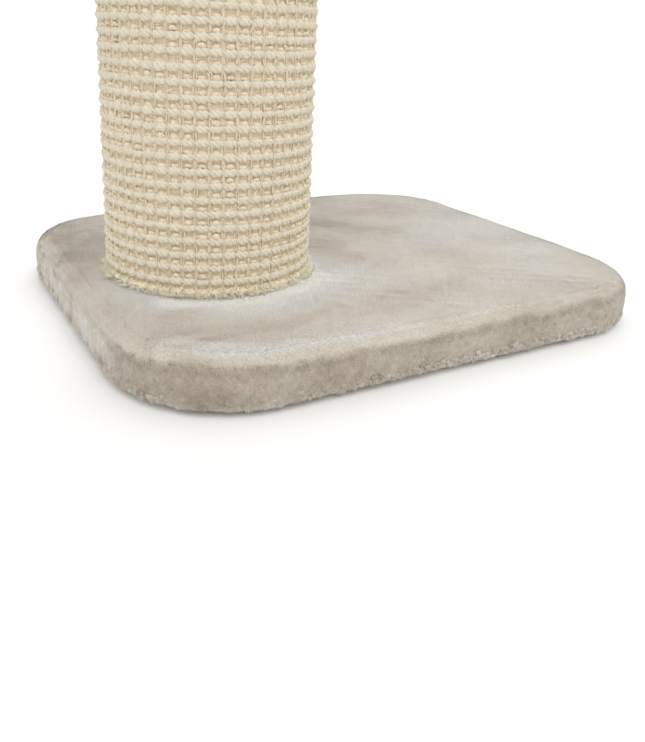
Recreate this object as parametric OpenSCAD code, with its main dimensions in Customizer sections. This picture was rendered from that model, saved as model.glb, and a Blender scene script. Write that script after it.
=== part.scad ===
// Small cat tree: a plush-covered base plate, one thick scratching post dressed
// in woven sisal cloth, and a plush-covered perch of the same outline on top.
// Millimetres. +Z is up, +X runs along the long side of the base towards its
// free half, -Y is the front. The origin is the middle of the base's underside.

/* [Base and perch plates] */
// Width of a covered plate, over the plush
plate_w = 350; // [320:5:420]
// Depth of a covered plate, over the plush
plate_d = 300; // [280:5:360]
// Thickness of a covered plate, over the plush
plate_t = 30.5; // [28:0.5:36]
// Corner radius of a covered plate, seen from above
plate_r = 68; // [50:1:80]
// Rounding of the plush over the upper edge
upper_edge_r = 10.7; // [8:0.1:12]
// Rounding of the plush at the lower edge
lower_edge_r = 3; // [1:0.5:4]
// Thickness of the plush on the top and sides
plush_t = 4; // [3:0.5:5]
// Thickness of the flattened plush hem, and of the felt panel inside it
hem_t = 2.5; // [2:0.5:3]
// Width of the hem turned under the plate
hem_w = 34; // [28:1:40]

/* [Post] */
// Diameter of the post over the sisal cloth
post_d = 124; // [100:1:130]
// Length of the post between the two plates
post_len = 456; // [380:1:560]
// Post axis along the width, from the middle of the plate
post_x = -89; // [-95:1:95]
// Post axis along the depth, from the middle of the plate
post_y = -8; // [-40:1:40]
// Thickness of the sisal cloth
cloth_t = 6; // [4:0.5:7]
// Wall of the cardboard tube
tube_wall = 5; // [4:0.5:8]
// Thickness of the wooden plug in each end of the tube
plug_t = 20; // [18:1:30]
// Direction that the seam of the cloth faces, from +X towards +Y
seam_angle = 75; // [0:5:355]

/* [Fasteners] */
// Thread diameter of the bolt and the stud
thread_d = 8; // [6:1:10]
// Length of the bolt under its head
bolt_len = 45; // [42:1:48]
// Length of the stud that carries the perch
stud_len = 48; // [44:1:50]
// Nails through the tube into each plug
nail_count = 6; // [4:1:8]
// Staples along the seam of the cloth
seam_staple_count = 12; // [8:1:16]

/* [Hidden] */
$fn = 96;
eps = 0.01;

post_z = plate_t;                       // underside of the post, on top of the base
perch_z = post_z + post_len;            // underside of the perch

board_w = plate_w - 2 * plush_t;
board_d = plate_d - 2 * plush_t;
board_t = plate_t - plush_t - hem_t;
board_r = plate_r - plush_t;
board_upper_r = upper_edge_r - plush_t;
board_lower_r = 1;
felt_r = plate_r - hem_w;

tube_r = post_d / 2 - cloth_t;
plug_r = tube_r - tube_wall;

thread_r = thread_d / 2;
clear_r = thread_r + 0.3;               // clearance hole for the thread
washer_r = 11;
washer_t = 1.6;
head_h = 5.3;
head_flats = 13;
sink_r = 12.5;                          // pocket that the bolt head sits in
sink_h = 10;
tee_r = 11;                             // flange of a tee nut
tee_t = 1.5;
tee_barrel_r = thread_r + 1;
tee_barrel_h = 9;

nail_r = 0.8;
nail_len = 20;
nail_head_r = 2;
nail_head_t = 0.9;
nail_sink = 0.2;

staple_wire = 1.1;
staple_gauge = 0.7;
hem_crown = 10;
seam_crown = 12;
leg_len = 9;
side_staples_x = 5;                     // hem staples along each long side
side_staples_y = 4;                     // and along each short side
corner_staples = 2;                     // and round each corner
hem_staple_inset = 24;
hem_staple_sink = 0.8;                  // the crowns pull down into the pile

plush_colour = "#c8bfb3";
sisal_colour = "#dccfb0";
board_colour = "#b89a72";
card_colour = "#a98b66";
felt_colour = "#4a4744";
steel_colour = "#b4b6b8";

// ---------- plates ----------

// Cross-section of a plate: flat, with its own radius on the upper and lower edges
module plate_section(w, t, upper, lower) {
    translate([-w / 2, lower]) square([w, t - upper - lower]);
    translate([upper - w / 2, lower]) square([w - 2 * upper, t - lower]);
    translate([lower - w / 2, 0]) square([w - 2 * lower, t - upper]);
    for (side = [-1, 1]) {
        translate([side * (w / 2 - upper), t - upper]) circle(r = upper);
        translate([side * (w / 2 - lower), lower]) circle(r = lower);
    }
}

// Rounded rectangle plate: one bar each way, and a turned disc in each corner
module plate(w, d, t, r, upper, lower) {
    rotate([90, 0, 0]) translate([0, 0, r - d / 2])
        linear_extrude(d - 2 * r) plate_section(w, t, upper, lower);
    rotate([90, 0, 90]) translate([0, 0, r - w / 2])
        linear_extrude(w - 2 * r) plate_section(d, t, upper, lower);
    for (x = [-1, 1], y = [-1, 1])
        translate([x * (w / 2 - r), y * (d / 2 - r), 0])
            rotate_extrude() intersection() {
                plate_section(2 * r, t, upper, lower);
                square([r, t]);
            }
}

// Flat sheet with the outline that the hem leaves open
module felt_sheet(t) {
    w = plate_w - 2 * hem_w;
    d = plate_d - 2 * hem_w;
    linear_extrude(t) {
        square([w - 2 * felt_r, d], center = true);
        square([w, d - 2 * felt_r], center = true);
        for (x = [-1, 1], y = [-1, 1])
            translate([x * (w / 2 - felt_r), y * (d / 2 - felt_r)]) circle(r = felt_r);
    }
}

module at_post() {
    translate([post_x, post_y, 0]) children();
}

module board() {
    translate([0, 0, hem_t]) plate(board_w, board_d, board_t, board_r, board_upper_r, board_lower_r);
}

module cover() {
    difference() {
        plate(plate_w, plate_d, plate_t, plate_r, upper_edge_r, lower_edge_r);
        board();
        translate([0, 0, -eps]) felt_sheet(hem_t + 2 * eps);
        hem_staples();
    }
}

// ---------- staples ----------

// A staple with its crown along X at z = 0 and its legs pointing up
module staple(crown) {
    translate([-crown / 2, -staple_wire / 2, 0]) cube([crown, staple_wire, staple_gauge]);
    for (side = [-1, 1])
        translate([side * (crown - staple_gauge) / 2 - staple_gauge / 2, -staple_wire / 2, 0])
            cube([staple_gauge, staple_wire, leg_len]);
}

// The ring of staples that holds the hem to the underside of a board
module hem_staples() {
    x = plate_w / 2 - hem_staple_inset;
    y = plate_d / 2 - hem_staple_inset;
    run_x = plate_w - 2 * plate_r;
    run_y = plate_d - 2 * plate_r;
    turn_r = plate_r - hem_staple_inset;
    translate([0, 0, hem_staple_sink]) {
        for (i = [0 : side_staples_x - 1], side = [-1, 1])
            translate([run_x * ((i + 0.5) / side_staples_x - 0.5), side * y, 0]) staple(hem_crown);
        for (i = [0 : side_staples_y - 1], side = [-1, 1])
            translate([side * x, run_y * ((i + 0.5) / side_staples_y - 0.5), 0])
                rotate(90) staple(hem_crown);
        for (quarter = [0 : 3], i = [0 : corner_staples - 1]) {
            angle = 90 * (quarter + (i + 0.5) / corner_staples);
            translate([sign(cos(angle)) * run_x / 2, sign(sin(angle)) * run_y / 2, 0])
                rotate(angle) translate([turn_r, 0, 0]) rotate(90) staple(hem_crown);
        }
    }
}

// The column of staples across the seam of the cloth, driven in to its weave
module seam_staple_column() {
    step = post_len / seam_staple_count;
    for (i = [0 : seam_staple_count - 1])
        translate([0, 0, post_z + (i + 0.5) * step]) rotate([0, 0, seam_angle])
            translate([post_d / 2 - 1.6, 0, 0]) rotate([0, -90, 0]) rotate(90) staple(seam_crown);
}

// ---------- fasteners ----------

// Tee nut with its flange below and its barrel pointing up
module tee_nut() {
    difference() {
        union() {
            cylinder(r = tee_r, h = tee_t);
            cylinder(r = tee_barrel_r, h = tee_t + tee_barrel_h);
        }
        translate([0, 0, -eps]) cylinder(r = thread_r + 0.05, h = tee_t + tee_barrel_h + 2 * eps);
    }
}

// The pocket that a tee nut and its thread need in a wooden part
module tee_nut_pocket(through) {
    cylinder(r = tee_r, h = tee_t);
    cylinder(r = tee_barrel_r, h = tee_t + tee_barrel_h);
    cylinder(r = clear_r, h = through);
}

// The nails driven through the tube into a plug, at the height z. A mouth
// lengthens the heads outwards, for the pockets that they are sunk in
module nail_ring(z, mouth = 0) {
    for (i = [0 : nail_count - 1])
        translate([0, 0, z]) rotate([0, 0, (i + 0.5) * 360 / nail_count])
            translate([tube_r - nail_sink, 0, 0]) rotate([0, -90, 0]) {
                translate([0, 0, -mouth]) cylinder(r = nail_head_r, h = nail_head_t + mouth, $fn = 32);
                cylinder(r = nail_r, h = nail_len, $fn = 32);
            }
}

// ---------- nodes: base ----------

module base_board() {
    color(board_colour) difference() {
        board();
        at_post() cylinder(r = sink_r, h = hem_t + sink_h);
        at_post() cylinder(r = clear_r, h = plate_t);
        hem_staples();
    }
}

module base_cover() {
    color(plush_colour) difference() {
        cover();
        at_post() translate([0, 0, hem_t]) cylinder(r = clear_r, h = plate_t);
    }
}

module base_felt() {
    color(felt_colour) difference() {
        felt_sheet(hem_t);
        at_post() translate([0, 0, -eps]) cylinder(r = sink_r, h = hem_t + 2 * eps);
    }
}

module base_staples() {
    color(steel_colour) hem_staples();
}

module base_washer() {
    color(steel_colour) at_post() translate([0, 0, hem_t + sink_h - washer_t]) difference() {
        cylinder(r = washer_r, h = washer_t);
        translate([0, 0, -eps]) cylinder(r = clear_r, h = washer_t + 2 * eps);
    }
}

module base_bolt() {
    seat = hem_t + sink_h - washer_t;
    color(steel_colour) at_post() {
        translate([0, 0, seat - head_h]) cylinder(d = head_flats / cos(30), h = head_h, $fn = 6);
        translate([0, 0, seat - eps]) cylinder(r = thread_r, h = bolt_len + eps);
    }
}

// ---------- nodes: post ----------

module post_tube() {
    color(card_colour) at_post() difference() {
        translate([0, 0, post_z]) cylinder(r = tube_r, h = post_len);
        translate([0, 0, post_z - eps]) cylinder(r = plug_r, h = post_len + 2 * eps);
        nail_ring(post_z + plug_t / 2, 1);
        nail_ring(perch_z - plug_t / 2, 1);
        seam_staple_column();
    }
}

module lower_plug() {
    color(board_colour) at_post() difference() {
        translate([0, 0, post_z]) cylinder(r = plug_r, h = plug_t);
        translate([0, 0, post_z + plug_t]) mirror([0, 0, 1]) tee_nut_pocket(plug_t + eps);
        nail_ring(post_z + plug_t / 2);
    }
}

module lower_nails() {
    color(steel_colour) at_post() nail_ring(post_z + plug_t / 2);
}

module lower_tee_nut() {
    color(steel_colour) at_post() translate([0, 0, post_z + plug_t]) mirror([0, 0, 1]) tee_nut();
}

module upper_plug() {
    color(board_colour) at_post() difference() {
        translate([0, 0, perch_z - plug_t]) cylinder(r = plug_r, h = plug_t);
        translate([0, 0, perch_z - plug_t]) tee_nut_pocket(plug_t + eps);
        nail_ring(perch_z - plug_t / 2);
    }
}

module upper_nails() {
    color(steel_colour) at_post() nail_ring(perch_z - plug_t / 2);
}

module upper_tee_nut() {
    color(steel_colour) at_post() translate([0, 0, perch_z - plug_t]) tee_nut();
}

module sisal_cloth() {
    color(sisal_colour) at_post() difference() {
        translate([0, 0, post_z]) cylinder(r = post_d / 2, h = post_len);
        translate([0, 0, post_z - eps]) cylinder(r = tube_r, h = post_len + 2 * eps);
        seam_staple_column();
    }
}

module seam_staples() {
    color(steel_colour) at_post() seam_staple_column();
}

// ---------- nodes: perch ----------

module perch_board() {
    color(board_colour) translate([0, 0, perch_z]) difference() {
        board();
        at_post() translate([0, 0, hem_t + board_t]) mirror([0, 0, 1]) tee_nut_pocket(board_t + eps);
        hem_staples();
    }
}

module perch_cover() {
    color(plush_colour) translate([0, 0, perch_z]) cover();
}

module perch_felt() {
    color(felt_colour) translate([0, 0, perch_z]) difference() {
        felt_sheet(hem_t);
        at_post() translate([0, 0, -eps]) cylinder(r = clear_r, h = hem_t + 2 * eps);
    }
}

module perch_staples() {
    color(steel_colour) translate([0, 0, perch_z]) hem_staples();
}

module perch_tee_nut() {
    color(steel_colour) at_post() translate([0, 0, perch_z + hem_t + board_t])
        mirror([0, 0, 1]) tee_nut();
}

module perch_stud() {
    color(steel_colour) at_post() translate([0, 0, perch_z + hem_t + board_t - tee_t - stud_len])
        cylinder(r = thread_r, h = stud_len);
}

base_board();
base_cover();
base_felt();
base_staples();
base_bolt();
base_washer();
post_tube();
lower_plug();
lower_nails();
lower_tee_nut();
upper_plug();
upper_nails();
upper_tee_nut();
sisal_cloth();
seam_staples();
perch_board();
perch_cover();
perch_felt();
perch_staples();
perch_tee_nut();
perch_stud();
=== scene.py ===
"""Looks of the small cat tree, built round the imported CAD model.

The plush of both plates and the woven sisal cloth of the post are made here,
strand by strand where the eye can follow them. The boards, the tube, the plugs
and the hardware stay the CAD nodes, with better materials. Lengths are metres.
"""

import math

import bpy
import numpy as np
from mathutils import Matrix, Vector
from mathutils.geometry import delaunay_2d_cdt
from mathutils.kdtree import KDTree


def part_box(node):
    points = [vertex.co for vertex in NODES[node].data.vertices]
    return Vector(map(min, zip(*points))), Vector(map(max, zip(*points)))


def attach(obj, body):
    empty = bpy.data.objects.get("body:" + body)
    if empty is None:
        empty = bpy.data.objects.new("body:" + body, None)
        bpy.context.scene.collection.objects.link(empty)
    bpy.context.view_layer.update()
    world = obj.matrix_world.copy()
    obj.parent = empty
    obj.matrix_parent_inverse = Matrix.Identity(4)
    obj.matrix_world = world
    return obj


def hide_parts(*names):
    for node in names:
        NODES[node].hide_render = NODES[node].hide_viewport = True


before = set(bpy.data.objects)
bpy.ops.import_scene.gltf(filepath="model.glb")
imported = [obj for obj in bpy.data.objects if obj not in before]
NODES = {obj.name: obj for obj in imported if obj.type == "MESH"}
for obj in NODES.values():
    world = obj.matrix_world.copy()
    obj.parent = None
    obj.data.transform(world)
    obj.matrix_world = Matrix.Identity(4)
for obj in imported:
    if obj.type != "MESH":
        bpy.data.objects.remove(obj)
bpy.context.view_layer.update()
MM = 0.001
TAU = 2 * math.pi
BODY = "root"


# ---------- sizes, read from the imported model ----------


def mesh_points(mesh):
    points = np.empty(len(mesh.vertices) * 3)
    mesh.vertices.foreach_get("co", points)
    return points.reshape(-1, 3)


def node_box(name):
    return [np.array(corner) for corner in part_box(name)]


HEM_ROUNDING = 1.8  # the pile rounds the hem off this much further than the CAD


class Plate:
    """A covered plate: its box, the roundings that its cover's own mesh shows, and its nap, whose colour
    carries painted light and shade.
    strength is how much the nap and its painted light differ from part to part, restless how much it turns."""

    def __init__(self, prefix, seed, strength, restless, patches):
        self.prefix, self.seed = prefix, seed
        self.strength, self.restless, self.patches = strength, restless, patches
        self.carries_post = prefix == "base"
        self.low, self.high = node_box(prefix + "_cover")
        self.centre = (self.low + self.high) / 2
        self.half = (self.high - self.low)[:2] / 2
        points = mesh_points(NODES[prefix + "_cover"].data)
        right_side = points[points[:, 0] > self.high[0] - 1e-5]
        self.corner = self.high[1] - right_side[:, 1].max()
        self.upper = self.high[2] - right_side[:, 2].max()
        self.lower = HEM_ROUNDING * (right_side[:, 2].min() - self.low[2])
        felt_low, felt_high = node_box(prefix + "_felt")
        self.hem = self.high[0] - felt_high[0]
        self.hem_thickness = felt_high[2] - felt_low[2]

    def local(self, points):
        """The points, measured from the middle of the plate's underside."""
        return points - (*self.centre[:2], self.low[2])


post_low, post_high = node_box("sisal_cloth")
POST_X, POST_Y = (post_low[:2] + post_high[:2]) / 2
POST_R = (post_high[0] - post_low[0]) / 2
POST_Z0, POST_Z1 = post_low[2], post_high[2]

tube_low, tube_high = node_box("post_tube")
TUBE_R = (tube_high[0] - tube_low[0]) / 2

seam_x, seam_y = sum(node_box("seam_staples"))[:2] / 2
SEAM = math.atan2(seam_y - POST_Y, seam_x - POST_X)  # where the cloth's ends meet, as an angle


# ---------- mesh making ----------


def add_object(name, data):
    thing = bpy.data.objects.new(name, data)
    bpy.context.scene.collection.objects.link(thing)
    return thing


def new_object(name, points, faces, material, smooth=True, uv=None, fields=None, normals=None):
    """A mesh piece from arrays: faces is a list of (n, corners) index arrays."""
    mesh = bpy.data.meshes.new(name)
    mesh.vertices.add(len(points))
    mesh.vertices.foreach_set("co", np.asarray(points, np.float32).ravel())
    corners = np.concatenate([f.ravel() for f in faces])
    sizes = np.concatenate([np.full(len(f), f.shape[1]) for f in faces])
    mesh.loops.add(len(corners))
    mesh.loops.foreach_set("vertex_index", corners.astype(np.int32))
    mesh.polygons.add(len(sizes))
    starts = np.concatenate([[0], np.cumsum(sizes)[:-1]])
    mesh.polygons.foreach_set("loop_start", starts.astype(np.int32))
    mesh.polygons.foreach_set("use_smooth", np.full(len(sizes), smooth))
    mesh.materials.append(material)
    if uv is not None:
        layer = mesh.uv_layers.new(name="strand")
        layer.data.foreach_set("uv", np.asarray(uv, np.float32)[corners].ravel())
    for field, values in (fields or {}).items():
        attribute = mesh.attributes.new(field, "FLOAT", "POINT")
        attribute.data.foreach_set("value", np.asarray(values, np.float32))
    mesh.update(calc_edges=True)
    mesh.validate()
    if normals is not None:
        mesh.normals_split_custom_set_from_vertices(normals)
    return add_object(name, mesh)


def finish_piece(piece, slot, *stands_for):
    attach(piece, BODY)
    if stands_for:
        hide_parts(*stands_for)
    return piece


class Waves:
    """Smooth repeatable noise: a sum of sines about one wavelength, mostly -1 to 1."""

    def __init__(self, seed, wavelength, stretch=(1, 1, 1)):
        rng = np.random.default_rng(seed)
        count = 18
        direction = rng.normal(size=(count, 3))
        direction /= np.linalg.norm(direction, axis=1)[:, None]
        lengths = wavelength * rng.uniform(0.65, 1.6, count)
        self.k = TAU * direction / lengths[:, None] / np.array(stretch)
        self.phase = rng.uniform(0, TAU, count)
        self.scale = math.sqrt(2 / count) / 1.6

    def __call__(self, points):
        return np.sin(points @ self.k.T + self.phase).sum(axis=1) * self.scale


def ease(low, high, value):
    """0 at low, 1 at high, smooth between."""
    t = np.clip((value - low) / (high - low), 0, 1)
    return t * t * (3 - 2 * t)


def unit(vectors):
    return vectors / np.maximum(np.linalg.norm(vectors, axis=1), 1e-9)[:, None]


# ---------- materials ----------


class Nodes:
    """A material's node tree, built one node a line."""

    def __init__(self, name):
        self.material = bpy.data.materials.new(name)
        self.material.use_nodes = True
        self.tree = self.material.node_tree
        self.shader = self.tree.nodes["Principled BSDF"]

    def feed(self, socket, value):
        """Link the input to another node's output, or set its value."""
        if isinstance(value, bpy.types.NodeSocket):
            self.tree.links.new(value, socket)
        else:
            socket.default_value = value

    def add(self, kind, inputs=None, **settings):
        node = self.tree.nodes.new("ShaderNode" + kind)
        for setting, value in settings.items():
            setattr(node, setting, value)
        for socket, value in (inputs or {}).items():
            self.feed(node.inputs[socket], value)
        return node

    def set(self, **inputs):
        for socket, value in inputs.items():
            self.feed(self.shader.inputs[socket.replace("_", " ")], value)
        return self.material

    def noise(self, scale, detail=3, roughness=0.55, stretch=None, vector=None):
        vector = vector or self.add("TexCoord").outputs["Object"]
        if stretch:
            vector = self.add("Mapping", {"Vector": vector, "Scale": stretch}).outputs[0]
        inputs = {"Vector": vector, "Scale": scale, "Detail": detail, "Roughness": roughness}
        return self.add("TexNoise", inputs).outputs["Fac"]

    def ramp(self, value, stops):
        node = self.add("ValToRGB", {"Fac": value})
        elements = node.color_ramp.elements
        while len(elements) < len(stops):
            elements.new(0.5)
        for element, (position, colour) in zip(elements, stops):
            element.position = position
            element.color = (*colour, 1)
        return node.outputs["Color"]

    def field(self, name):
        return self.add("Attribute", attribute_name=name).outputs["Fac"]

    def math(self, operation, a, b, clamp=False):
        return self.add("Math", {0: a, 1: b}, operation=operation, use_clamp=clamp).outputs[0]

    def mix(self, factor, a, b):
        """The colour a turned into the plain colour b by the factor."""
        return self.add("Mix", {0: factor, 6: a, 7: (*b, 1)}, data_type="RGBA").outputs[2]

    def bump(self, height, strength, distance):
        inputs = {"Height": height, "Strength": strength, "Distance": distance}
        return self.add("Bump", inputs).outputs["Normal"]


# The plush colours along the nap value: the dark end is reached mostly by the painted shade of the sides,
# the bright end by the painted light at the foot of the post.
PLUSH_DARK = (0.33, 0.275, 0.22)
PLUSH_MID = (0.615, 0.557, 0.476)
PLUSH_LIGHT = (0.71, 0.70, 0.67)
PLUSH_BRIGHT = (0.93, 0.90, 0.84)
NAP_SPAN = 1.4  # the nap value at the bright end of the colours


def plush_material(name, share):
    """Short pile: the nap field makes it lighter or darker, with the nap's sheen and the plate's light and
    shade painted in, and fine noise breaks it up.
    All its colours are multiplied by the share; a share under 1 paints it darker as shade."""
    n = Nodes(name)
    grain = n.noise(420, detail=4, stretch=(0.5, 1, 1))
    level = n.math("ADD", n.field("nap_and_light"), n.math("MULTIPLY", n.math("SUBTRACT", grain, 0.5), 0.2))
    stops = [(0.0, PLUSH_DARK), (0.5, PLUSH_MID), (1.0, PLUSH_LIGHT), (NAP_SPAN, PLUSH_BRIGHT)]
    stops = [(at / NAP_SPAN, tuple(c * share for c in shade)) for at, shade in stops]
    return n.set(
        Base_Color=n.ramp(n.math("DIVIDE", level, NAP_SPAN), stops),
        Roughness=0.92,
        Sheen_Weight=0.5,
        Sheen_Roughness=0.4,
        Sheen_Tint=(0.95, 0.93, 0.90, 1),
        Specular_IOR_Level=0.2,
        Normal=n.bump(n.noise(900, detail=2), 0.5, 0.0006),
    )


def sisal_material(name, tan_and_shade, pale):
    """Twisted sisal: pale straw with fibre streaks along the yarn, with painted shade in tan where it lies
    deep.
    """
    n = Nodes(name)
    strand = n.add("UVMap", uv_map="strand").outputs[0]
    streaks = n.noise(260, detail=4, stretch=(1.0, 0.055, 1), vector=strand)
    blotches = n.noise(560, detail=4)
    level = n.math("ADD", n.math("MULTIPLY", streaks, 0.5), n.math("MULTIPLY", blotches, 0.5))
    bleached = tuple(min(1, 1.12 * c) for c in pale)
    colour = n.ramp(level, [(0.32, tan_and_shade), (0.52, pale), (0.68, bleached)])
    # Painted shade: the depth field turns the colour to tan where the strand lies deep.
    colour = n.mix(n.math("MULTIPLY", n.field("depth"), 0.5, clamp=True), colour, tan_and_shade)
    return n.set(
        Base_Color=colour,
        Roughness=0.8,
        Sheen_Weight=0.15,
        Specular_IOR_Level=0.3,
        Normal=n.bump(streaks, 0.6, 0.0004),
    )


def board_material():
    """Raw chipboard: flakes in three browns."""
    n = Nodes("chipboard")
    vector = n.add("TexCoord").outputs["Object"]
    flakes = n.add("TexVoronoi", {"Vector": vector, "Scale": 420}, feature="F1")
    tone = n.add("RGBToBW", {0: flakes.outputs["Color"]}).outputs[0]
    browns = [(0.2, (0.30, 0.19, 0.10)), (0.5, (0.50, 0.36, 0.21)), (0.8, (0.64, 0.50, 0.32))]
    colour = n.ramp(tone, browns)
    rough = n.ramp(n.noise(300), [(0.3, (0.65,) * 3), (0.7, (0.85,) * 3)])
    return n.set(Base_Color=colour, Roughness=rough, Normal=n.bump(tone, 0.3, 0.0004))


def cardboard_material():
    """Spiral-wound grey-brown board, its fibres drawn out along the tube."""
    n = Nodes("cardboard")
    fibres = n.noise(220, detail=5, stretch=(1, 1, 0.2))
    colour = n.ramp(fibres, [(0.35, (0.33, 0.22, 0.12)), (0.65, (0.46, 0.33, 0.20))])
    return n.set(Base_Color=colour, Roughness=0.85, Normal=n.bump(fibres, 0.25, 0.0003))


def felt_material():
    """Thin needled felt: matted dark fibres with small pale flecks."""
    n = Nodes("needled_felt")
    fibres = n.noise(650, detail=6, roughness=0.7)
    needling = n.add("TexVoronoi", {"Vector": n.add("TexCoord").outputs["Object"], "Scale": 330})
    shade = n.math("MULTIPLY", fibres, n.math("ADD", needling.outputs["Distance"], 0.6))
    greys = [(0.25, (0.035, 0.034, 0.033)), (0.5, (0.075, 0.072, 0.069)), (0.8, (0.16, 0.155, 0.15))]
    colour = n.ramp(shade, greys)
    return n.set(
        Base_Color=colour,
        Roughness=0.95,
        Sheen_Weight=0.25,
        Normal=n.bump(shade, 0.6, 0.0005),
    )


def steel_material():
    """Zinc-plated steel: bright, with a mottled bluish passivation and fine scratches."""
    n = Nodes("zinc_steel")
    scratches = n.noise(900, detail=4, stretch=(1, 0.12, 1))
    colour = n.ramp(n.noise(130), [(0.35, (0.52, 0.54, 0.57)), (0.65, (0.70, 0.70, 0.69))])
    rough = n.ramp(scratches, [(0.3, (0.22,) * 3), (0.7, (0.42,) * 3)])
    return n.set(Base_Color=colour, Metallic=1.0, Roughness=rough, Normal=n.bump(scratches, 0.15, 0.0002))


def floor_material():
    """Pale matt studio floor, very slightly uneven."""
    n = Nodes("studio_floor")
    colour = n.ramp(n.noise(3), [(0.3, (0.90, 0.90, 0.895)), (0.7, (0.92, 0.92, 0.915))])
    return n.set(Base_Color=colour, Roughness=0.9, Specular_IOR_Level=0.1)


# ---------- plush plates ----------

CELL = 1.5 * MM  # mesh spacing of a plush surface
PILE_DEPTH = 0.7 * MM  # the woven ground lies this far under the pile's tips
PILE_SPACING = 1.08 * MM  # distance between tufts
HEM_DEPTH = 0.5 * MM  # the hem is trodden flatter
HEM_LIFT = 1.5 * MM  # the plate's outer edge stands this far off the floor
HEM_SLOPE = 16 * MM  # over which the hem comes down to it
LOCK_SPACING = 1.2 * MM  # between the locks round the lower edge
FLOOR_GAP = 0.15 * MM  # the least height of any pile over the floor
FLAT_BAND = 6 * MM  # how far the swept rim reaches on to the flat top
TUFT_DEPTH = 0.55  # a tuft's depth, as a share of its width
TUFT_REACH = 0.85  # how far its tip leans over, as a share of its length


class Rim:
    """The rim of a plate as a sweep: u runs round the outline, s down the section."""

    def __init__(self, plate):
        self.plate = plate
        self.run = 2 * (plate.half - plate.corner)
        self.arc = plate.corner * math.pi / 2
        self.length = 2 * self.run.sum() + 4 * self.arc
        side = plate.high[2] - plate.low[2] - plate.upper - plate.lower - HEM_LIFT
        self.parts = np.cumsum([
            FLAT_BAND,
            plate.upper * math.pi / 2,
            side,
            plate.lower * math.pi / 2,
            plate.hem - plate.lower,
        ])

    def skeleton(self, u):
        """Centre of the turn and outward normal at the distance u round the outline."""
        u = np.mod(u, self.length)
        centres = np.zeros((len(u), 2))
        normals = np.zeros((len(u), 2))
        half = self.plate.half - self.plate.corner
        start = 0.0
        for quarter in range(4):
            along = self.run[0] if quarter % 2 == 0 else self.run[1]
            heading = quarter * math.pi / 2
            forward = np.array([math.cos(heading), math.sin(heading)])
            outward = np.array([forward[1], -forward[0]])
            first = -forward * along / 2 + outward * half[1 - quarter % 2]
            on_side = (u >= start) & (u < start + along)
            centres[on_side] = first + forward * (u[on_side] - start)[:, None]
            normals[on_side] = outward
            start += along
            on_corner = (u >= start) & (u <= start + self.arc + 1e-12)
            angle = heading - math.pi / 2 + (u[on_corner] - start) / self.plate.corner
            centres[on_corner] = first + forward * along
            normals[on_corner] = np.stack([np.cos(angle), np.sin(angle)], axis=1)
            start += self.arc
        return centres + self.plate.centre[:2], normals

    def section(self, s):
        """Inset from the outline, height, and the section's normal at the arc length s."""
        plate, parts = self.plate, self.parts
        upper = np.clip((s - parts[0]) / plate.upper, 0, math.pi / 2)
        lower = np.clip((s - parts[2]) / plate.lower, 0, math.pi / 2)
        flat = np.minimum(s, parts[0]) - parts[0]
        hem = np.maximum(s - parts[3], 0)
        drop = np.clip(s - parts[1], 0, parts[2] - parts[1])
        inset = plate.upper * (1 - np.sin(upper)) - flat + plate.lower * (1 - np.cos(lower)) + hem
        height = plate.high[2] - plate.upper * (1 - np.cos(upper)) - drop - plate.lower * np.sin(lower)
        height -= HEM_LIFT * ease(0, HEM_SLOPE, hem)
        outward = np.sin(upper) * np.cos(lower)
        return inset, height, outward, np.cos(upper) - np.sin(lower)

    def at(self, u, s):
        """Points and normals of the outer surface."""
        centres, normals = self.skeleton(u)
        inset, height, outward, up = self.section(s)
        flat = centres + (self.plate.corner - inset)[:, None] * normals
        points = np.column_stack([flat, height])
        return points, unit(np.column_stack([normals * outward[:, None], up]))


def hex_grid(plate, spacing, inset):
    """Staggered grid points on the flat top, at least inset from the outline."""
    xs = np.arange(-plate.half[0], plate.half[0], spacing)
    ys = np.arange(-plate.half[1], plate.half[1], spacing * math.sqrt(3) / 2)
    x, y = np.meshgrid(xs, ys)
    x[1::2] += spacing / 2
    grid = np.column_stack([x.ravel(), y.ravel()])
    return grid[outline_inset(plate, grid) > inset] + plate.centre[:2]


def loop_edges(first, count):
    return [(first + i, first + (i + 1) % count) for i in range(count)]


def triangulate(flat, edges):
    """Triangles between points in the plane, keeping to the edges."""
    return np.array(delaunay_2d_cdt([Vector(xy) for xy in flat], edges, [], 1, 1e-7)[2])


def near_post(points):
    return np.hypot(points[:, 0] - POST_X, points[:, 1] - POST_Y)


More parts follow.
